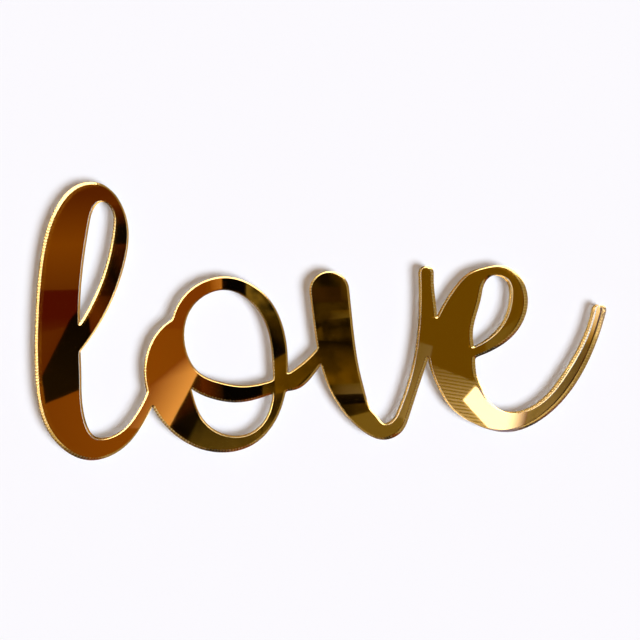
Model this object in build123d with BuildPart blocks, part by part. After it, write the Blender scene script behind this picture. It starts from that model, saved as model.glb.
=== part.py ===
# A flat cake topper: a joined script word of four letters, laser-cut from gold mirror acrylic.
# Millimetres. X runs along the line of writing, Y up the letters and Z out of the mirror's face.
# The origin is at the middle of the word's box, on the underside that it lies on.
import os
from itertools import pairwise

from build123d import *

# Layers of the sheet, from the face down
ACRYLIC = 2.9
LACQUER = 0.02
METAL = 0.02
PAINT = 0.06

# Heights above the line of writing
L_HEIGHT = 70.4
X_HEIGHT = 45.0

# Widths of the letters, and how they follow each other
L_WIDTH = 26.9
O_WIDTH = 36.4
O_TO_V = 7.0
V_WIDTH = 32.8
V_OVER_E = 1.8
E_WIDTH = 27.0
TAIL_REACH = 21.7

# Widths of the brush's line, lightest and heaviest
HAIR = 2.2
HEAVY = 12.0

# Radius that the cutter leaves in the notches between the v and the e
NOTCH = 0.3

# Left edges of the letters, with the l at nought
O_LEFT = L_WIDTH
V_LEFT = O_LEFT + O_WIDTH + O_TO_V
E_LEFT = V_LEFT + V_WIDTH - V_OVER_E
TAIL_LEFT = E_LEFT + E_WIDTH


def stations(left, width, height, *shares):
    """Points of a brush stroke with the width of its line there.

    Each share is how far across and up the letter's box the line is, against its sides at 0 and 100,
    and the pressure on the brush there, all in per cent.
    """
    placed = []
    for across, up, pressure in shares:
        line = HAIR + (HEAVY - HAIR) * pressure / 100
        x = left + line / 2 + (width - line) * across / 100
        y = line / 2 + (height - line) * up / 100
        placed.append((Vector(x, y), line))
    return placed


def sides(stroke):
    """The left and the right edge of a stroke, as points beside its stations."""
    spine = Edge.make_spline([point for point, line in stroke])
    left, right = [], []
    for point, line in stroke:
        aside = spine.tangent_at(point).rotate(Axis.Z, 90) * (line / 2)
        left.append(point + aside)
        right.append(point - aside)
    return left, right


def brush(stroke, *turns):
    """Draw a stroke into the open sketch, with round ends.

    The turns are the stations where it parts into faces, so that no face crosses itself.
    """
    last = len(stroke) - 1
    left, right = sides(stroke)
    for begin, end in pairwise([0, *turns, last]):
        with BuildLine() as outline:
            for points in (left, right):
                edge = Edge.make_spline(points)
                ways = [edge.tangent_at(points[begin]), edge.tangent_at(points[end])]
                Spline(*points[begin:end + 1], tangents=ways, tangent_scalars=(1, 1))
            if begin == 0:
                SagittaArc(left[0], right[0], -stroke[0][1] / 2)
            else:
                Line(left[begin], right[begin])
            if end == last:
                SagittaArc(left[last], right[last], stroke[last][1] / 2)
            else:
                Line(left[end], right[end])
        make_face(outline.edges())


# The l: up through the loop, down the stem and out to the o
l_stroke = stations(
    0, L_WIDTH, L_HEIGHT,
    (24, 38, 20), (64.5, 56.5, 19), (84, 72, 19), (91, 85, 13), (86, 93, 5),
    (74, 99, 21), (60.5, 100, 40), (38, 93.5, 65), (18.5, 77, 80), (6, 54, 83),
    (0, 27.5, 87), (14, 7.5, 67), (45.5, 0.5, 35), (81.5, 5.5, 13), (95, 11.5, 6),
    (107, 19, 3), (115, 25.5, 3),
)

# The o: round the heavy bowl, over the top, and across as a bar that swells and leads into the v
o_stroke = stations(
    O_LEFT, O_WIDTH, X_HEIGHT,
    (23.5, 77.5, 3), (14, 72.5, 33), (0, 52.5, 79), (5, 26, 84), (24.5, 7.5, 53),
    (47, 0, 26), (73, 3, 5), (87, 13, 0), (93.5, 22, 4), (100, 44, 16),
    (97, 74, 18), (88.5, 87.5, 18), (60.5, 100, 13), (32.5, 91.5, 13), (20.5, 67, 14),
    (32.5, 40.5, 21), (50.5, 33, 23), (65.5, 30.5, 20), (83, 32, 12), (96.5, 34.5, 12),
) + stations(
    O_LEFT + O_WIDTH, O_TO_V + HEAVY, X_HEIGHT,
    (-6.5, 36.5, 25), (25, 44.5, 17), (61, 57.5, 15),
)

# The v: down the heavy arm, round the foot and up
v_stroke = stations(
    V_LEFT, V_WIDTH, X_HEIGHT,
    (0, 100, 81), (5, 59, 77), (13, 34, 68), (23, 19, 53), (33.5, 9, 37),
    (41, 4, 33), (54, 0, 18), (65.5, 3.5, 13), (72, 12, 6), (89.5, 43.5, 8),
    (101, 71.5, 22), (100, 84, 15), (100, 100, 13),
)

# The e: along the bar, over the loop, down the heavy back and out into the tail
e_stroke = stations(
    E_LEFT, E_WIDTH, X_HEIGHT,
    (29.5, 45.5, 6), (54, 49.5, 5), (83, 60, 16), (100, 80, 20), (88, 95, 6),
    (76.5, 98, 5), (63.5, 97.5, 5), (52, 96, 22), (39, 90, 48), (12, 69, 78),
    (0, 56, 95), (0, 40, 98), (10, 26.5, 84), (23.5, 14.5, 75), (45.5, 5, 53),
    (82, -1, 29),
) + stations(
    TAIL_LEFT, TAIL_REACH, X_HEIGHT,
    (-1, 5.5, 14), (53, 27.5, 12), (89.5, 56.5, 5), (100, 69.5, 6),
)

with BuildSketch() as word:
    brush(l_stroke, 5)
    brush(o_stroke, 9, 17)
    brush(v_stroke)
    brush(e_stroke, 6)
    v_edge = Edge.make_spline(sides(v_stroke)[1])
    e_edge = Edge.make_spline(sides(e_stroke)[1])
    for notch in v_edge.find_intersection_points(e_edge):
        fillet(word.vertices().sort_by_distance(notch)[0], radius=NOTCH)

# The layers lie on each other, with the middle of the word's box over the origin
middle = word.sketch.bounding_box().center()
back = Plane((-middle.X, -middle.Y, 0))

with BuildPart() as back_paint:
    with BuildSketch(back):
        add(word.sketch)
    extrude(amount=PAINT)

with BuildPart() as mirror_coat:
    with BuildSketch(back.offset(PAINT)):
        add(word.sketch)
    extrude(amount=METAL)

with BuildPart() as gold_lacquer:
    with BuildSketch(back.offset(PAINT + METAL)):
        add(word.sketch)
    extrude(amount=LACQUER)

with BuildPart() as acrylic_sheet:
    with BuildSketch(back.offset(PAINT + METAL + LACQUER)):
        add(word.sketch)
    extrude(amount=ACRYLIC)

back_paint.part.label = "back_paint"
mirror_coat.part.label = "mirror_coat"
gold_lacquer.part.label = "gold_lacquer"
acrylic_sheet.part.label = "acrylic_sheet"

os.makedirs("parts", exist_ok=True)
for piece in (back_paint, mirror_coat, gold_lacquer, acrylic_sheet):
    export_step(piece.part, f"parts/{piece.part.label}.step")
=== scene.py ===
"""Dress the cake topper: laser-cut clear acrylic over a gold mirror, on a plain pale floor."""
import math

import bmesh
import bpy
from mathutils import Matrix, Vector, noise


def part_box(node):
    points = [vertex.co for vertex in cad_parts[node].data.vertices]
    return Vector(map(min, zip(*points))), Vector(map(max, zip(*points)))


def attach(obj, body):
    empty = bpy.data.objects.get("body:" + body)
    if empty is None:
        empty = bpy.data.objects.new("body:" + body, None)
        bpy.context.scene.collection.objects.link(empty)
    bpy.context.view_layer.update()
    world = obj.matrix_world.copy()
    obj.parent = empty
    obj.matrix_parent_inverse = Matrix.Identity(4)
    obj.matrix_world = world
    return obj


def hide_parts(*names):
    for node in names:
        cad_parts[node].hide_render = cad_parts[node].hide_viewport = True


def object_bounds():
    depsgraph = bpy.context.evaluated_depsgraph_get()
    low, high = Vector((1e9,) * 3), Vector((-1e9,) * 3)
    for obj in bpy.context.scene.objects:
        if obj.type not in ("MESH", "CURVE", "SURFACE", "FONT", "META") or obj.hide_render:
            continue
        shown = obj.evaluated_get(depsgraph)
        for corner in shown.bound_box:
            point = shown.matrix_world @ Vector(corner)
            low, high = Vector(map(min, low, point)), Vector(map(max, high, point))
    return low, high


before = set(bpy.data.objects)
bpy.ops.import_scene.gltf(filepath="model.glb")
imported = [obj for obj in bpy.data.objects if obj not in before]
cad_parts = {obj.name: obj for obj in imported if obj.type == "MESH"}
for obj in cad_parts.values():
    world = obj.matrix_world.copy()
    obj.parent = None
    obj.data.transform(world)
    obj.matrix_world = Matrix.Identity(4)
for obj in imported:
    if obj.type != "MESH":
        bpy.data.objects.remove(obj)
cad_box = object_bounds()

bl_info = {
    "name": "Mirror acrylic cake topper",
    "version": (1, 0, 0),
    "blender": (4, 5, 0),
    "location": "3D View > Sidebar > Topper",
    "description": "Finishes a flat word cut from gold mirror acrylic",
    "category": "Object",
}

MM = 0.001
BODY = "root"

# Corners of a sheet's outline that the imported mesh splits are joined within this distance
MERGE = 0.002 * MM

# A face is level where the upright part of its normal is more than this
LEVEL = 0.5

# Upright part of the fill's slant, against one part sideways
UPRIGHT = 100.0

# The ribs come and go along the edge: their middle depth, its swing and the length of a patch of them
RIB_MIDDLE = 0.65
RIB_SWING = 0.7
RIB_PATCH = 6 * MM

# Power of the wall's curve towards the back, where 1 is a straight slope
WALL_CURVE = 1.5

# Material slots of the acrylic's two finishes
POLISHED_SLOT = 0
CUT_SLOT = 1

# How strongly acrylic bends light
ACRYLIC_IOR = 1.49

# Patterns that are too fine to show in the render, and so are drawn this coarse: dust on the face, marks of
# the beam's pulses, grain of the metal and tooth of the board, all a tenth of a millimetre or less in fact
DUST_SPACING = 1.11 * MM
BEAM_SPACING = 0.25 * MM
METAL_GRAIN = 0.5 * MM
BOARD_TOOTH = 0.667 * MM

# Patterns at their own size: waves in the mirror, orange peel and clouds in the paint, patches on a card
MIRROR_WAVE = 8.33 * MM
PAINT_PEEL = 0.833 * MM
PAINT_CLOUD = 16.7 * MM
CARD_PATCH = 31.25 * MM

# Height of the relief on the cut edge, the mirror and the paint, and of that on the board
FINE_RELIEF = 0.02 * MM
BOARD_RELIEF = 0.05 * MM

# Share of the paint's brightness where it is thin
THIN_PAINT = 0.85

# Gap between the floor and the paint, so that the two faces don't fight
FLOOR_GAP = 0.02 * MM


def colour(code):
    """A colour written as sRGB hex, in linear light."""
    channels = []
    for place in (1, 3, 5):
        value = int(code[place:place + 2], 16) / 255
        # The sRGB curve is straight near black and a power above that
        if value <= 0.04045:
            channels.append(value / 12.92)
        else:
            channels.append(((value + 0.055) / 1.055) ** 2.4)
    return (*channels, 1.0)


# Shades of the glowing cards, which paint the reflections that the mirror shows
SHADES = {
    "black": "#060505",
    "soot": "#1E170B",
    "cocoa": "#3B2A10",
    "umber": "#603008",
    "chestnut": "#6C3E0E",
    "sienna": "#884D0F",
    "brown": "#855208",
    "rust": "#531708",
    "amber": "#9E6418",
    "orange": "#CB9456",
    "peach": "#F9C99A",
    "moss": "#50420E",
    "olive": "#7F7440",
    "khaki": "#725C08",
    "tan": "#877F6D",
    "grey": "#AAA596",
    "pale": "#D6D8D3",
    "daylight": "#C6CCFF",
    "white": "#FFFFFF",
}

# Each card hangs this much lower than the one before it, and so hides it
CARD_DROP = 1 * MM

# Glowing cards over the topper, seen only in reflections: painted reflections that the mirror shows
# at each letter, the dark ones painted shade and the bright ones painted highlights. Each row has a name,
# a strength, how uneven the light is, and the corners. Each corner has a place in millimetres and a shade.
CARDS = (
    ("left", 1.0, 0.0, (
        (-450, 350, "grey"), (-450, -250, "grey"), (-150, -250, "grey"), (-150, 350, "grey"))),
    ("warm", 1.0, 0.0, (
        (-150, 350, "brown"), (-150, -250, "chestnut"), (-37, -250, "amber"), (-25, 350, "chestnut"))),
    ("middle", 1.0, 0.8, (
        (-25, 350, "soot"), (-37, -250, "soot"), (48, -250, "moss"), (48, 350, "soot"))),
    ("right", 1.0, 0.2, (
        (48, 350, "khaki"), (48, -250, "khaki"), (185, -250, "grey"), (185, 350, "khaki"))),
    ("l_top", 1.0, 0.0, (
        (-140, 100, "umber"), (-140, 62, "umber"), (-70, 62, "umber"), (-70, 100, "umber"))),
    ("l_shine", 1.0, 0.0, (
        (-140, 62, "umber"), (-140, 37, "brown"), (-87, 37, "brown"), (-70, 62, "umber"))),
    ("l_dim", 1.0, 0.0, (
        (-140, 37, "brown"), (-140, 15, "chestnut"), (-89, 13, "chestnut"), (-87, 37, "brown"))),
    ("rust", 1.0, 0.0, (
        (-140, 15, "rust"), (-140, 1, "rust"), (-99, 0, "rust"), (-98, 14, "rust"))),
    ("rust_fade", 1.0, 0.0, (
        (-140, 1, "rust"), (-140, -10, "chestnut"), (-99, -10, "umber"), (-99, 0, "rust"))),
    ("l_shade", 1.0, 0.0, (
        (-140, -10, "chestnut"), (-140, -34, "brown"), (-123, -34, "umber"), (-107, -4, "umber"))),
    ("flag", 1.0, 0.0, (
        (-108, -1, "black"), (-124, -29, "soot"), (-123, -43, "soot"), (-103, -36, "soot"),
        (-97, -12, "black"), (-99, 9, "black"))),
    ("loop_top", 1.0, 0.0, (
        (-92, 56, "umber"), (-92, 45, "soot"), (-70, 45, "black"), (-70, 56, "umber"))),
    ("loop", 1.0, 0.0, (
        (-92, 45, "soot"), (-92, 36, "soot"), (-74, 36, "black"), (-70, 45, "black"))),
    ("loop_low", 1.0, 0.6, (
        (-92, 36, "soot"), (-94, 10, "umber"), (-80, 10, "soot"), (-74, 36, "umber"))),
    ("loop_foot", 1.0, 0.0, (
        (-99, 10, "umber"), (-98, -12, "umber"), (-88, -12, "chestnut"), (-80, 10, "soot"))),
    ("o_left", 1.0, 0.0, (
        (-66, 23, "sienna"), (-68, -8, "sienna"), (-40, -10, "sienna"), (-38, 21, "sienna"))),
    ("o_orange", 1.0, 0.0, (
        (-37, 24, "amber"), (-36, 5, "amber"), (-30, 5, "orange"), (-30, 24, "orange"))),
    ("o_black", 1.0, 0.0, (
        (-30, 24, "black"), (-31, 0, "black"), (-19, -1, "black"), (-16, 23, "black"))),
    ("o_side", 1.0, 1.0, (
        (-17, 24, "olive"), (-19, -1, "olive"), (-4, -34, "moss"), (8, -34, "moss"), (6, 24, "olive"))),
    ("o_streak", 1.0, 0.3, (
        (-14, 20, "olive"), (-15, 12, "olive"), (-8, 2, "moss"), (-5, 6, "moss"))),
    ("o_dark", 1.0, 0.4, (
        (-12, -2, "moss"), (-10, -12, "black"), (-6, -30, "black"), (4, -30, "soot"), (2, -10, "moss"))),
    ("wedge", 1.05, 0.0, (
        (-49, -21, "sienna"), (-72, -38, "sienna"), (-86, -58, "sienna"), (-62, -60, "peach"),
        (-44, -30, "peach"))),
    ("gap", 1.0, 0.0, (
        (-44, -30, "cocoa"), (-62, -60, "black"), (-55, -69, "black"), (-42, -49, "soot"),
        (-36, -29, "umber"))),
    ("bar_left", 1.0, 0.0, (
        (-44, -30, "umber"), (-44, -52, "umber"), (-33, -53, "soot"), (-33, -28, "soot"))),
    ("bar", 1.0, 0.0, (
        (-33, -28, "black"), (-33, -53, "black"), (-13, -54, "black"), (-12, -30, "black"))),
    ("o_foot", 1.0, 0.3, (
        (-55, -69, "black"), (-45, -52, "black"), (-14, -54, "moss"), (-15, -84, "olive"),
        (-57, -84, "olive"))),
    ("o_olive", 1.0, 0.6, (
        (-12, -34, "moss"), (-15, -84, "olive"), (2, -85, "moss"), (7, -34, "cocoa"))),
    ("link", 1.0, 0.3, (
        (-6, -28, "khaki"), (-6, -46, "khaki"), (4, -44, "khaki"), (22, -28, "moss"),
        (20, -12, "moss"), (2, -24, "khaki"))),
    ("v_brown", 1.0, 0.3, (
        (10, 9, "cocoa"), (10, 1, "cocoa"), (35, 0, "cocoa"), (35, 8, "cocoa"))),
    ("v_strip", 1.0, 0.0, (
        (32, 15, "moss"), (31, 1, "cocoa"), (37, 1, "moss"), (37, 15, "moss"))),
    ("v_patch", 1.0, 0.4, (
        (25, -4, "moss"), (23, -9, "cocoa"), (36, -8, "olive"), (36, -4, "khaki"))),
    ("v_low", 1.0, 0.5, (
        (10, -18, "soot"), (18, -43, "khaki"), (41, -43, "khaki"), (38, -22, "black"))),
    ("v_tan", 1.0, 0.2, (
        (24, -43, "moss"), (23, -48, "moss"), (42, -49, "tan"), (42, -43, "olive"))),
    ("v_black", 1.0, 0.0, (
        (19, -48, "soot"), (19, -54, "black"), (43, -54, "black"), (42, -49, "soot"))),
    ("v_dim", 1.0, 0.4, (
        (19, -54, "soot"), (19, -61, "soot"), (46, -58, "moss"), (43, -54, "moss"))),
    ("v_foot", 1.0, 0.0, (
        (19, -62, "olive"), (29, -61, "olive"), (46, -58, "olive"), (63, -53, "olive"),
        (61, -90, "olive"), (17, -87, "olive"))),
    ("striped", 1.0, 0.0, (
        (65, -30, "khaki"), (60, -75, "pale"), (112, -78, "white"), (102, -47, "grey"))),
    ("flat", 1.0, 0.0, (
        (48, 32, "khaki"), (46, -18, "khaki"), (65, -30, "khaki"), (102, -47, "khaki"),
        (136, -43, "khaki"), (139, 27, "khaki"))),
    ("v_arm", 1.0, 0.0, (
        (68, -22, "olive"), (62, -44, "olive"), (52, -62, "olive"), (66, -64, "grey"),
        (74, -44, "tan"), (79, -26, "tan"))),
    ("e_bar", 1.0, 0.0, (
        (108, -26, "olive"), (108, -36, "olive"), (120, -30, "olive"), (134, -18, "khaki"),
        (128, -12, "khaki"), (117, -20, "olive"))),
    ("tail", 1.0, 0.2, (
        (116, -66, "pale"), (128, -84, "grey"), (150, -72, "moss"), (172, -50, "moss"),
        (174, -30, "olive"), (157, -28, "tan"), (139, -49, "olive"))),
    ("tail_tip", 3.6, 0.0, (
        (155, -30, "moss"), (160, -18, "tan"), (166, -6, "daylight"), (188, -6, "daylight"),
        (186, -18, "tan"), (174, -30, "moss"))),
    ("painted_highlight_right", 3.4, 0.0, (
        (190, 70, "daylight"), (190, -78, "daylight"), (400, -78, "daylight"), (400, 70, "daylight"))),
    ("painted_highlight_front", 8.0, 0.0, (
        (150, -78, "daylight"), (66, -82, "daylight"), (60, -95, "daylight"), (-150, -97, "daylight"),
        (-150, -300, "daylight"), (400, -300, "daylight"), (400, -78, "daylight"))),
    ("bright", 4.8, 0.0, (
        (94, -56, "daylight"), (107, -72, "daylight"), (114, -79, "daylight"), (120, -63, "daylight"),
        (101, -49, "daylight"))),
    ("bright_fade", 4.8, 0.0, (
        (120, -63, "daylight"), (114, -79, "daylight"), (124, -84, "cocoa"), (132, -58, "cocoa"))),
)

# Slats under the striped card, which paint dim stripes into the mirror's reflection, in millimetres: how
# many, the first one's upper ends, the way to the next one and how deep each is
SLATS = 24
SLAT_LEFT = Vector((62, -26))
SLAT_RIGHT = Vector((108, -36.4))
SLAT_STEP = Vector((0.3, -1.9))
SLAT_DEPTH = Vector((0.15, -0.8))


class TopperSheet(bpy.types.PropertyGroup):
    """Sizes of the edge that the cutter leaves."""

    step: bpy.props.FloatProperty(
        name="Step", description="Spacing of the points along the cut edge",
        default=0.13 * MM, unit="LENGTH", precision=5)
    easing: bpy.props.IntProperty(
        name="Easing", description="Rounds of smoothing that turn the outline's flats into curves",
        default=24, min=0)
    rib_pitch: bpy.props.FloatProperty(
        name="Rib pitch", description="Spacing of the ribs along the cut edge",
        default=0.8 * MM, unit="LENGTH", precision=5)
    rib_depth: bpy.props.FloatProperty(
        name="Rib depth", description="Depth of the ribs in the cut edge",
        default=0.075 * MM, unit="LENGTH", precision=5)
    rib_least: bpy.props.FloatProperty(
        name="Least ribs", description="Share of the ribs' depth that is left where the edge faces right",
        default=0.2, min=0, max=1, subtype="FACTOR")
    sweeps: bpy.props.IntProperty(
        name="Sweeps", description="Ways that the fill of the face may sweep", default=16, min=1)
    undercut: bpy.props.FloatProperty(
        name="Undercut", description="How far the melted wall draws in towards the back",
        default=0.34 * MM, unit="LENGTH", precision=5)
    rows: bpy.props.IntProperty(
        name="Rows", description="Rows of faces up the curved wall", default=6, min=2)
    rim: bpy.props.FloatProperty(
        name="Rim", description="Radius of the rim that the cut melts round the face",
        default=0.3 * MM, unit="LENGTH", precision=5)
    rim_rows: bpy.props.IntProperty(
        name="Rim rows", description="Rows of faces across the rim", default=4, min=1)
    sunk: bpy.props.FloatProperty(
        name="Sunk", description="How far the acrylic reaches into the lacquer that wets it",
        default=0.01 * MM, unit="LENGTH", precision=5)


class TopperFinish(bpy.types.PropertyGroup):
    """Colours of the layers."""

    clear: bpy.props.FloatVectorProperty(
        name="Acrylic", description="Tint of the clear acrylic",
        default=colour("#FFFEFC"), size=4, subtype="COLOR")
    # Painted shade: the grooves of the cut edge take this darker, warmer tint than the clear acrylic
    groove_shade: bpy.props.FloatVectorProperty(
        name="Smoke", description="Tint that the cut leaves in the grooves of the edge",
        default=colour("#F0DDBB"), size=4, subtype="COLOR")
    gold: bpy.props.FloatVectorProperty(
        name="Gold", description="Colour of the mirror through the gold lacquer",
        default=colour("#E6B85C"), size=4, subtype="COLOR")
    metal: bpy.props.FloatVectorProperty(
        name="Metal", description="Colour of the aluminium coat",
        default=colour("#F2F2F0"), size=4, subtype="COLOR")
    paint: bpy.props.FloatVectorProperty(
        name="Paint", description="Colour of the paint on the back",
        default=colour("#8E8C88"), size=4, subtype="COLOR")


class TopperStage(bpy.types.PropertyGroup):
    """The floor, the light and the view."""

    floor: bpy.props.FloatVectorProperty(
        name="Floor", description="Colour of the floor",
        default=colour("#F9F8FB"), size=4, subtype="COLOR")
    backdrop: bpy.props.FloatVectorProperty(
        name="Backdrop", description="Colour of the background, that of the lit floor",
        default=colour("#FBFAFE"), size=4, subtype="COLOR")
    floor_width: bpy.props.FloatProperty(
        name="Floor width", description="Width of the floor", default=4.0, unit="LENGTH")
    sky: bpy.props.FloatProperty(
        name="Sky", description="Strength of the soft light from all round", default=0.28)
    sky_tone: bpy.props.FloatVectorProperty(
        name="Sky tone", description="Colour of the soft light from all round, warm as lamplight",
        default=colour("#FFD29E"), size=4, subtype="COLOR")
    key: bpy.props.FloatProperty(
        name="Key", description="Strength of the soft light from the right", default=3.95)
    key_tone: bpy.props.FloatVectorProperty(
        name="Key tone", description="Colour of the soft light from the right, cool as daylight",
        default=colour("#E7F3FF"), size=4, subtype="COLOR")
    key_from: bpy.props.FloatVectorProperty(
        name="Key from", description="Direction that the key light comes from",
        default=(0.58, -0.335, 0.743), size=3, subtype="DIRECTION")
    key_width: bpy.props.FloatProperty(
        name="Key width", description="Angle across the key light",
        default=math.radians(30), subtype="ANGLE")
    hang: bpy.props.FloatProperty(
        name="Hang", description="Height at which the cards hang", default=1.0, unit="LENGTH")
    eye: bpy.props.FloatVectorProperty(
        name="Eye", description="Place of the camera",
        default=(-24.26 * MM, 3.31 * MM, 209.18 * MM), size=3, subtype="TRANSLATION", precision=5)
    turn: bpy.props.FloatVectorProperty(
        name="Turn", description="Turn of the camera",
        default=(math.radians(-1.289), math.radians(-6.063), math.radians(-3.2)), size=3, subtype="EULER")
    lens: bpy.props.FloatProperty(
        name="Lens", description="Focal length on a 36 mm sensor", default=45.0, subtype="DISTANCE_CAMERA")


def add(tree, kind, links=None, **settings):
    """Add a node. Links join its inputs to outputs; settings fill its inputs or its own values."""
    node = tree.nodes.new(kind)
    for key, value in settings.items():
        if hasattr(node, key):
            setattr(node, key, value)
        else:
            node.inputs[key.replace("_", " ")].default_value = value
    for key, output in (links or {}).items():
        tree.links.new(output, node.inputs[key])
    return node


def blank(name):
    """A new material with an empty tree."""
    material = bpy.data.materials.new(name)
    material.use_nodes = True
    material.node_tree.nodes.clear()
    return material, material.node_tree


def surface(tree, shader):
    """Send a shader to the material's output."""
    add(tree, "ShaderNodeOutputMaterial", {"Surface": shader.outputs[0]})


def polished_acrylic(tint):
    """Cast acrylic as it leaves the mould: clear and flat, with a sharp gloss and fine dust on it."""
    material, tree = blank("cast_acrylic_polished")
    place = add(tree, "ShaderNodeTexCoord").outputs["Object"]
    dust = add(tree, "ShaderNodeTexNoise", {"Vector": place}, Scale=1 / DUST_SPACING, Detail=2.0)
    # Only the peaks of the noise are specks, which dull the gloss
    haze = add(tree, "ShaderNodeMapRange", {"Value": dust.outputs[0]},
               From_Min=0.72, From_Max=0.78, To_Min=0.008, To_Max=0.12)
    shader = add(tree, "ShaderNodeBsdfPrincipled", {"Roughness": haze.outputs[0]},
                 Base_Color=tint, IOR=ACRYLIC_IOR, Transmission_Weight=1.0)
    surface(tree, shader)
    return material


def cut_acrylic(tint, groove_shade):
    """Laser-cut acrylic edge: clear on the ribs, frosted in the grooves between them, where a darker, warmer
    tint is painted shade.
    """
    material, tree = blank("cast_acrylic_laser_cut")
    along = add(tree, "ShaderNodeAttribute", attribute_name="along").outputs["Fac"]
    groove = add(tree, "ShaderNodeAttribute", attribute_name="groove").outputs["Fac"]
    marks = add(tree, "ShaderNodeTexNoise", {"W": along}, noise_dimensions="1D",
                Scale=1 / BEAM_SPACING, Detail=3.0)
    frost = add(tree, "ShaderNodeMapRange", {"Value": groove}, To_Min=0.06, To_Max=0.35)
    clear = add(tree, "ShaderNodeMapRange", {"Value": groove}, To_Min=0.94, To_Max=0.45)
    bump = add(tree, "ShaderNodeBump", {"Height": marks.outputs[0]}, Strength=0.25, Distance=FINE_RELIEF)
    # Painted shade: the grooves take a darker, warmer tint than the ribs
    tone = add(tree, "ShaderNodeMixRGB", {"Fac": groove}, Color1=tint, Color2=groove_shade)
    shader = add(tree, "ShaderNodeBsdfPrincipled",
                 {"Base Color": tone.outputs[0], "Roughness": frost.outputs[0],
                  "Transmission Weight": clear.outputs[0], "Normal": bump.outputs[0]}, IOR=ACRYLIC_IOR)
    surface(tree, shader)
    return material


def gold_mirror(gold):
    """Gold lacquer coated under the acrylic and backed by metal: a gold mirror that is not quite flat."""
    material, tree = blank("gold_lacquer_coated_mirror")
    place = add(tree, "ShaderNodeTexCoord").outputs["Object"]
    wave = add(tree, "ShaderNodeTexNoise", {"Vector": place}, Scale=1 / MIRROR_WAVE, Detail=1.0)
    bump = add(tree, "ShaderNodeBump", {"Height": wave.outputs[0]}, Strength=0.05, Distance=FINE_RELIEF)
    shader = add(tree, "ShaderNodeBsdfPrincipled", {"Normal": bump.outputs[0]},
                 Base_Color=gold, Metallic=1.0, Roughness=0.018)
    surface(tree, shader)
    return material


def metallised_aluminium(metal):
    """Aluminium evaporated on the lacquer: bright and even, with a faint haze."""
    material, tree = blank("aluminium_vacuum_metallised")
    place = add(tree, "ShaderNodeTexCoord").outputs["Object"]
    grain = add(tree, "ShaderNodeTexNoise", {"Vector": place}, Scale=1 / METAL_GRAIN, Detail=2.0)
    rough = add(tree, "ShaderNodeMapRange", {"Value": grain.outputs[0]}, To_Min=0.12, To_Max=0.25)
    shader = add(tree, "ShaderNodeBsdfPrincipled", {"Roughness": rough.outputs[0]},
                 Base_Color=metal, Metallic=1.0)
    surface(tree, shader)
    return material


def sprayed_paint(paint):
    """Backing paint, sprayed: matt, with a fine orange peel and soft darker clouds where it is thin."""
    material, tree = blank("backing_paint_sprayed")
    place = add(tree, "ShaderNodeTexCoord").outputs["Object"]
    peel = add(tree, "ShaderNodeTexNoise", {"Vector": place}, Scale=1 / PAINT_PEEL, Detail=2.0)
    cloud = add(tree, "ShaderNodeTexNoise", {"Vector": place}, Scale=1 / PAINT_CLOUD, Detail=4.0)
    thin = [channel * THIN_PAINT for channel in paint[:3]] + [1.0]
    tone = add(tree, "ShaderNodeMixRGB", {"Fac": cloud.outputs[0]}, Color1=thin, Color2=paint)
    bump = add(tree, "ShaderNodeBump", {"Height": peel.outputs[0]}, Strength=0.3, Distance=FINE_RELIEF)
    shader = add(tree, "ShaderNodeBsdfPrincipled",
                 {"Base Color": tone.outputs[0], "Normal": bump.outputs[0]}, Roughness=0.6)
    surface(tree, shader)
    return material


def finished(name, mesh, *materials):
    """Make a bmesh an object of the scene, with its materials."""
    piece = bpy.data.objects.new(name, bpy.data.meshes.new(name))
    mesh.to_mesh(piece.data)
    mesh.free()
    bpy.context.scene.collection.objects.link(piece)
    for material in materials:
        piece.data.materials.append(material)
    return piece


def outline_of(node):
    """The face's outline of a sheet, as closed wires in a new bmesh."""
    mesh = bmesh.new()
    mesh.from_mesh(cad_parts[node].data)
    bmesh.ops.remove_doubles(mesh, verts=mesh.verts, dist=MERGE)
    others = [face for face in mesh.faces if face.normal.z < LEVEL]
    bmesh.ops.delete(mesh, geom=others, context="FACES")
    bmesh.ops.delete(mesh, geom=mesh.faces[:], context="FACES_KEEP_BOUNDARY")
    return mesh


def even_out(mesh, step, rounds):
    """Part the wires into short steps and ease their corners."""
    cuts = {}
    for edge in mesh.edges:
        count = math.ceil(edge.calc_length() / step) - 1
        cuts.setdefault(count, []).append(edge)
    for count, edges in cuts.items():
        if count:
            bmesh.ops.subdivide_edges(mesh, edges=edges, cuts=count)
    for _ in range(rounds):
        bmesh.ops.smooth_vert(mesh, verts=mesh.verts, factor=0.5, use_axis_x=True, use_axis_y=True)


def loops_of(mesh):
    """The wires as closed runs of corners, longest first."""
    found = []
    seen = set()
    for start in mesh.verts:
        if start in seen:
            continue
        loop = [start]
        edge = start.link_edges[0]
        corner = edge.other_vert(start)
        while corner is not start:
            loop.append(corner)
            edge = next(other for other in corner.link_edges if other is not edge)
            corner = edge.other_vert(corner)
        seen.update(loop)
        found.append(loop)
    return sorted(found, key=len, reverse=True)


def turning(loop):
    """Twice the area inside a run of corners, positive where it runs anticlockwise."""
    total = 0.0
    for first, second in zip(loop, loop[1:] + loop[:1]):
        total += first.co.x * second.co.y - second.co.x * first.co.y
    return total


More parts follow.
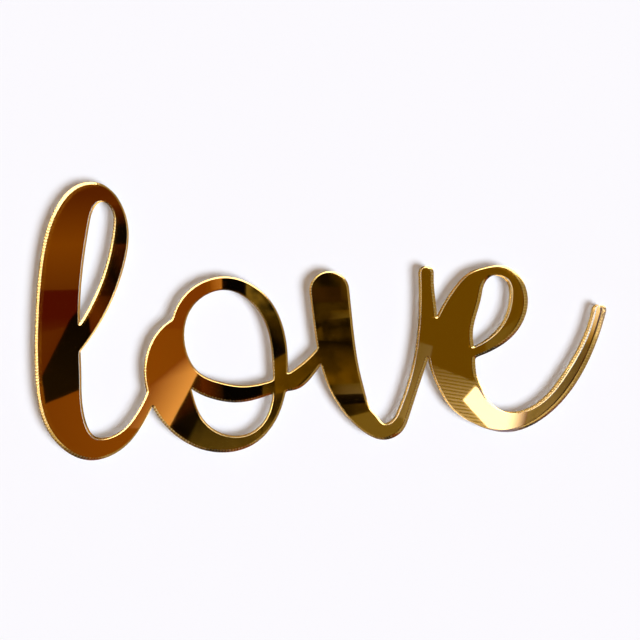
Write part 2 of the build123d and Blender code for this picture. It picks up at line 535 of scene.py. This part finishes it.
def cut_ribs(mesh, pitch, depth, least):
    """Press the cutter's ribs into the wires, into the sheet only, and note the way along them.

    The beam cuts one way more roughly than the other, so the ribs are deepest where the edge faces left.
    """
    along = mesh.verts.layers.float.new("along")
    groove = mesh.verts.layers.float.new("groove")
    facing = mesh.verts.layers.float_vector.new("facing")
    for place, loop in enumerate(loops_of(mesh)):
        out = 1.0 if turning(loop) > 0 else -1.0
        # The longest loop is the sheet's outside, and the others are its holes
        if place:
            out = -out
        ahead = loop[1:] + loop[:1]
        behind = loop[-1:] + loop[:-1]
        length = sum((second.co - first.co).length for first, second in zip(loop, ahead))
        ribs = round(length / pitch)
        way = 0.0
        noted = []
        for before, corner, after in zip(behind, loop, ahead):
            tangent = (after.co - before.co).normalized()
            outward = Vector((tangent.y, -tangent.x, 0.0)) * out
            leftward = 0.5 - 0.5 * outward.x
            swell = RIB_MIDDLE + RIB_SWING * noise.noise(corner.co / RIB_PATCH)
            swell *= least + (1 - least) * leftward ** 2
            rib = swell * (0.5 - 0.5 * math.cos(math.tau * ribs * way / length))
            noted.append((corner, way, rib, outward))
            way += (after.co - corner.co).length
        for corner, way, rib, outward in noted:
            corner[along] = way
            corner[groove] = rib
            corner[facing] = outward
            corner.co -= outward * (depth * rib)


def filled(wires, sweeps):
    """The wires with a flat face in them.

    The fill can lose an edge of a ribbed outline, and its slant sets the way that it sweeps, so the
    sweep is turned until every edge is kept.
    """
    for sweep in range(sweeps):
        turn = math.tau * sweep / sweeps
        slant = Vector((math.cos(turn), math.sin(turn), UPRIGHT))
        mesh = wires.copy()
        bmesh.ops.triangle_fill(mesh, use_beauty=True, edges=mesh.edges[:], normal=slant)
        rim = [edge for edge in mesh.edges if edge.is_boundary]
        inner = [edge for edge in mesh.edges if edge.is_manifold and not edge.is_boundary]
        if len(rim) == len(wires.edges) and len(rim) + len(inner) == len(mesh.edges):
            return mesh
        mesh.free()
    raise RuntimeError("the outline can't be filled")


def thicken(mesh, back, front):
    """Raise a flat face to a sheet, and give the corners of its front."""
    raised = bmesh.ops.extrude_face_region(mesh, geom=mesh.faces[:])["geom"]
    upper = {item for item in raised if isinstance(item, bmesh.types.BMVert)}
    for corner in mesh.verts:
        corner.co.z = front if corner in upper else back
    return upper


def curve_wall(mesh, back, front, undercut, rows):
    """Part the upright wall into rows and draw them in towards the back."""
    upright = [edge for edge in mesh.edges if edge.verts[0].co.z != edge.verts[1].co.z]
    bmesh.ops.subdivide_edges(mesh, edges=upright, cuts=rows - 1, use_grid_fill=True)
    facing = mesh.verts.layers.float_vector["facing"]
    for corner in mesh.verts:
        share = (front - corner.co.z) / (front - back)
        outward = corner[facing].normalized()
        corner.co -= outward * (undercut * share ** WALL_CURVE)


def melt_rim(mesh, upper, radius, rows):
    """Round the rim of the sheet's front, and give it the polish of the face."""
    rim = [edge for edge in mesh.edges
           if edge.verts[0] in upper and edge.verts[1] in upper
           and any(abs(face.normal.z) < LEVEL for face in edge.link_faces)]
    rounded = bmesh.ops.bevel(
        mesh, geom=rim, offset=radius, offset_type="OFFSET", affect="EDGES", segments=rows,
        profile=0.5, material=-1, clamp_overlap=False)
    for face in rounded["faces"]:
        face.smooth = True
        face.material_index = POLISHED_SLOT


class TOPPER_OT_acrylic(bpy.types.Operator):
    """Make the clear acrylic with its ribbed edge and melted rim"""

    bl_idname = "topper.acrylic"
    bl_label = "Acrylic sheet"

    def execute(self, context):
        sheet = context.scene.topper_sheet
        finish = context.scene.topper_finish
        low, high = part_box("acrylic_sheet")
        back = low[2] - sheet.sunk
        front = high[2]
        wires = outline_of("acrylic_sheet")
        even_out(wires, sheet.step, sheet.easing)
        cut_ribs(wires, sheet.rib_pitch, sheet.rib_depth, sheet.rib_least)
        mesh = filled(wires, sheet.sweeps)
        wires.free()
        upper = thicken(mesh, back, front)
        curve_wall(mesh, back, front, sheet.undercut, sheet.rows)
        bmesh.ops.recalc_face_normals(mesh, faces=mesh.faces[:])
        for face in mesh.faces:
            wall = abs(face.normal.z) <= LEVEL
            face.material_index = CUT_SLOT if wall else POLISHED_SLOT
            face.smooth = wall
        melt_rim(mesh, upper, sheet.rim, sheet.rim_rows)
        if any(not edge.is_manifold for edge in mesh.edges):
            raise RuntimeError("the acrylic sheet isn't closed")
        piece = finished("acrylic_sheet_cut", mesh,
                         polished_acrylic(finish.clear), cut_acrylic(finish.clear, finish.groove_shade))
        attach(piece, BODY)
        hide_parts("acrylic_sheet")
        return {"FINISHED"}


class TOPPER_OT_coats(bpy.types.Operator):
    """Finish the lacquer, the metal and the paint behind the acrylic"""

    bl_idname = "topper.coats"
    bl_label = "Mirror coats"

    def execute(self, context):
        finish = context.scene.topper_finish
        coats = {
            "gold_lacquer": gold_mirror(finish.gold),
            "mirror_coat": metallised_aluminium(finish.metal),
            "back_paint": sprayed_paint(finish.paint),
        }
        for node, material in coats.items():
            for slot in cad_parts[node].material_slots:
                slot.material = material
        return {"FINISHED"}


def plain_floor(tone):
    """Matt white board: a faint unevenness and no gloss."""
    material, tree = blank("white_board_matt")
    place = add(tree, "ShaderNodeTexCoord").outputs["Object"]
    tooth = add(tree, "ShaderNodeTexNoise", {"Vector": place}, Scale=1 / BOARD_TOOTH, Detail=2.0)
    bump = add(tree, "ShaderNodeBump", {"Height": tooth.outputs[0]}, Strength=0.05, Distance=BOARD_RELIEF)
    shader = add(tree, "ShaderNodeBsdfPrincipled", {"Normal": bump.outputs[0]},
                 Base_Color=tone, Roughness=0.9, Specular_IOR_Level=0.0)
    surface(tree, shader)
    return material


def lay_floor(stage):
    """Lay the floor just under the part."""
    mesh = bmesh.new()
    bmesh.ops.create_grid(mesh, x_segments=1, y_segments=1, size=stage.floor_width / 2)
    bmesh.ops.translate(mesh, verts=mesh.verts, vec=(0, 0, cad_box[0][2] - FLOOR_GAP))
    finished("floor", mesh, plain_floor(stage.floor))


def painted_reflection_glow():
    """Painted reflection: each corner of a card has its own shade, which runs into the next, in soft
    patches.
    """
    material, tree = blank("painted_reflection_card")
    place = add(tree, "ShaderNodeTexCoord").outputs["Object"]
    shade = add(tree, "ShaderNodeVertexColor", layer_name="shade").outputs["Color"]
    mottle = add(tree, "ShaderNodeAttribute", attribute_name="mottle").outputs["Fac"]
    patches = add(tree, "ShaderNodeTexNoise", {"Vector": place}, Scale=1 / CARD_PATCH, Detail=4.0)
    dim = add(tree, "ShaderNodeMapRange", {"Value": patches.outputs[0]},
              From_Min=0.4, From_Max=0.6, To_Min=1.0, To_Max=0.0)
    loss = add(tree, "ShaderNodeMath", {0: dim.outputs[0], 1: mottle}, operation="MULTIPLY")
    left = add(tree, "ShaderNodeMapRange", {"Value": loss.outputs[0]}, To_Min=1.0, To_Max=0.0)
    # Off after the first matt bounce, so that the mirror throws no patches of this light on the floor
    bounces = add(tree, "ShaderNodeLightPath").outputs["Diffuse Depth"]
    direct = add(tree, "ShaderNodeMapRange", {"Value": bounces}, To_Min=1.0, To_Max=0.0)
    strength = add(tree, "ShaderNodeMath", {0: left.outputs[0], 1: direct.outputs[0]}, operation="MULTIPLY")
    surface(tree, add(tree, "ShaderNodeEmission", {"Color": shade, "Strength": strength.outputs[0]}))
    return material


def hang_card(name, strength, mottle, corners, eye, height, material):
    """Hang one glowing card face down over the topper, seen by reflections alone as a painted reflection.

    Its corners are laid out at the height of the eye, and spread about it so that the mirror shows
    them in the same place from any height.
    """
    spread = (1 + height / eye[2]) / 2
    mesh = bmesh.new()
    shade = mesh.verts.layers.float_color.new("shade")
    uneven = mesh.verts.layers.float.new("mottle")
    ring = []
    for x, y, tone in corners:
        aside = (Vector((x * MM, y * MM)) - Vector(eye[:2])) * spread
        corner = mesh.verts.new((eye[0] + aside.x, eye[1] + aside.y, height))
        corner[shade] = [channel * strength for channel in colour(SHADES[tone])[:3]] + [1.0]
        corner[uneven] = mottle
        ring.append(corner)
    mesh.faces.new(ring)
    card = finished(f"card_{name}", mesh, material)
    card.visible_camera = False
    card.visible_diffuse = False
    card.visible_shadow = False


def slat_corners(place):
    """The corners of one slat, each as a place in millimetres and a shade."""
    left = SLAT_LEFT + SLAT_STEP * place
    right = SLAT_RIGHT + SLAT_STEP * place
    return (
        (*left, "khaki"),
        (*(left + SLAT_DEPTH), "khaki"),
        (*(right + SLAT_DEPTH), "olive"),
        (*right, "olive"),
    )


def hang_cards(stage):
    """Hang the glowing cards that paint the mirror's reflections, and the slats right under the striped one.
    """
    glow = painted_reflection_glow()
    for place, (name, strength, mottle, corners) in enumerate(CARDS):
        height = stage.hang - place * CARD_DROP
        hang_card(name, strength, mottle, corners, stage.eye, height, glow)
        if name == "striped":
            under = height - CARD_DROP / 2
            for slat in range(SLATS):
                hang_card(f"slat_{slat}", strength, mottle, slat_corners(slat), stage.eye, under, glow)


def light_key(stage):
    """Add the soft light from the right."""
    lamp = bpy.data.lights.new("key", "SUN")
    lamp.energy = stage.key
    lamp.color = stage.key_tone[:3]
    lamp.angle = stage.key_width
    key = bpy.data.objects.new("key", lamp)
    key.rotation_euler = Vector(stage.key_from).to_track_quat("Z", "Y").to_euler()
    bpy.context.scene.collection.objects.link(key)


def light_all_round(stage):
    """Add the soft light from all round, which the camera, mirrors and glass see as the backdrop."""
    world = bpy.data.worlds.new("soft_white")
    world.use_nodes = True
    tree = world.node_tree
    tree.nodes.clear()
    path = add(tree, "ShaderNodeLightPath").outputs
    sharp = add(tree, "ShaderNodeMath", {0: path["Is Glossy Ray"], 1: path["Is Transmission Ray"]},
                operation="MAXIMUM")
    shown = add(tree, "ShaderNodeMath", {0: path["Is Camera Ray"], 1: sharp.outputs[0]}, operation="MAXIMUM")
    # After the first matt bounce, mirrors and glass pass on the soft light and not the backdrop
    direct = add(tree, "ShaderNodeMapRange", {"Value": path["Diffuse Depth"]}, To_Min=1.0, To_Max=0.0)
    seen = add(tree, "ShaderNodeMath", {0: shown.outputs[0], 1: direct.outputs[0]}, operation="MULTIPLY")
    strength = add(tree, "ShaderNodeMapRange", {"Value": seen.outputs[0]}, To_Min=stage.sky, To_Max=1.0)
    tone = add(tree, "ShaderNodeMixRGB", {"Fac": seen.outputs[0]},
               Color1=stage.sky_tone, Color2=stage.backdrop)
    sky = add(tree, "ShaderNodeBackground", {"Strength": strength.outputs[0], "Color": tone.outputs[0]})
    add(tree, "ShaderNodeOutputWorld", {"Surface": sky.outputs[0]})
    bpy.context.scene.world = world


def aim_camera(stage):
    """Add the camera, with the photograph's view."""
    view = bpy.data.cameras.new("camera")
    view.lens = stage.lens
    camera = bpy.data.objects.new("camera", view)
    camera.location = stage.eye
    camera.rotation_euler = stage.turn
    bpy.context.scene.collection.objects.link(camera)
    bpy.context.scene.camera = camera


class TOPPER_OT_stage(bpy.types.Operator):
    """Lay the floor, light the topper and set the camera"""

    bl_idname = "topper.stage"
    bl_label = "Stage"

    def execute(self, context):
        stage = context.scene.topper_stage
        context.scene.view_settings.view_transform = "Standard"
        lay_floor(stage)
        hang_cards(stage)
        light_key(stage)
        light_all_round(stage)
        aim_camera(stage)
        return {"FINISHED"}


class TOPPER_PT_sidebar(bpy.types.Panel):
    """The topper's sizes, colours and steps"""

    bl_idname = "TOPPER_PT_sidebar"
    bl_label = "Cake topper"
    bl_space_type = "VIEW_3D"
    bl_region_type = "UI"
    bl_category = "Topper"

    def draw(self, context):
        for group in (context.scene.topper_sheet, context.scene.topper_finish, context.scene.topper_stage):
            for name in group.bl_rna.properties.keys():
                if name not in ("rna_type", "name"):
                    self.layout.prop(group, name)
        for operator in (TOPPER_OT_acrylic, TOPPER_OT_coats, TOPPER_OT_stage):
            self.layout.operator(operator.bl_idname)


CLASSES = (
    TopperSheet, TopperFinish, TopperStage,
    TOPPER_OT_acrylic, TOPPER_OT_coats, TOPPER_OT_stage,
    TOPPER_PT_sidebar,
)


def register():
    """Add the classes, and the settings to the scene."""
    for item in CLASSES:
        bpy.utils.register_class(item)
    bpy.types.Scene.topper_sheet = bpy.props.PointerProperty(type=TopperSheet)
    bpy.types.Scene.topper_finish = bpy.props.PointerProperty(type=TopperFinish)
    bpy.types.Scene.topper_stage = bpy.props.PointerProperty(type=TopperStage)


def unregister():
    """Take the settings and the classes away again."""
    del bpy.types.Scene.topper_stage
    del bpy.types.Scene.topper_finish
    del bpy.types.Scene.topper_sheet
    for item in reversed(CLASSES):
        bpy.utils.unregister_class(item)


def main():
    """Dress the part and set the stage."""
    register()
    bpy.ops.topper.acrylic()
    bpy.ops.topper.coats()
    bpy.ops.topper.stage()


if __name__ == "__main__":
    main()
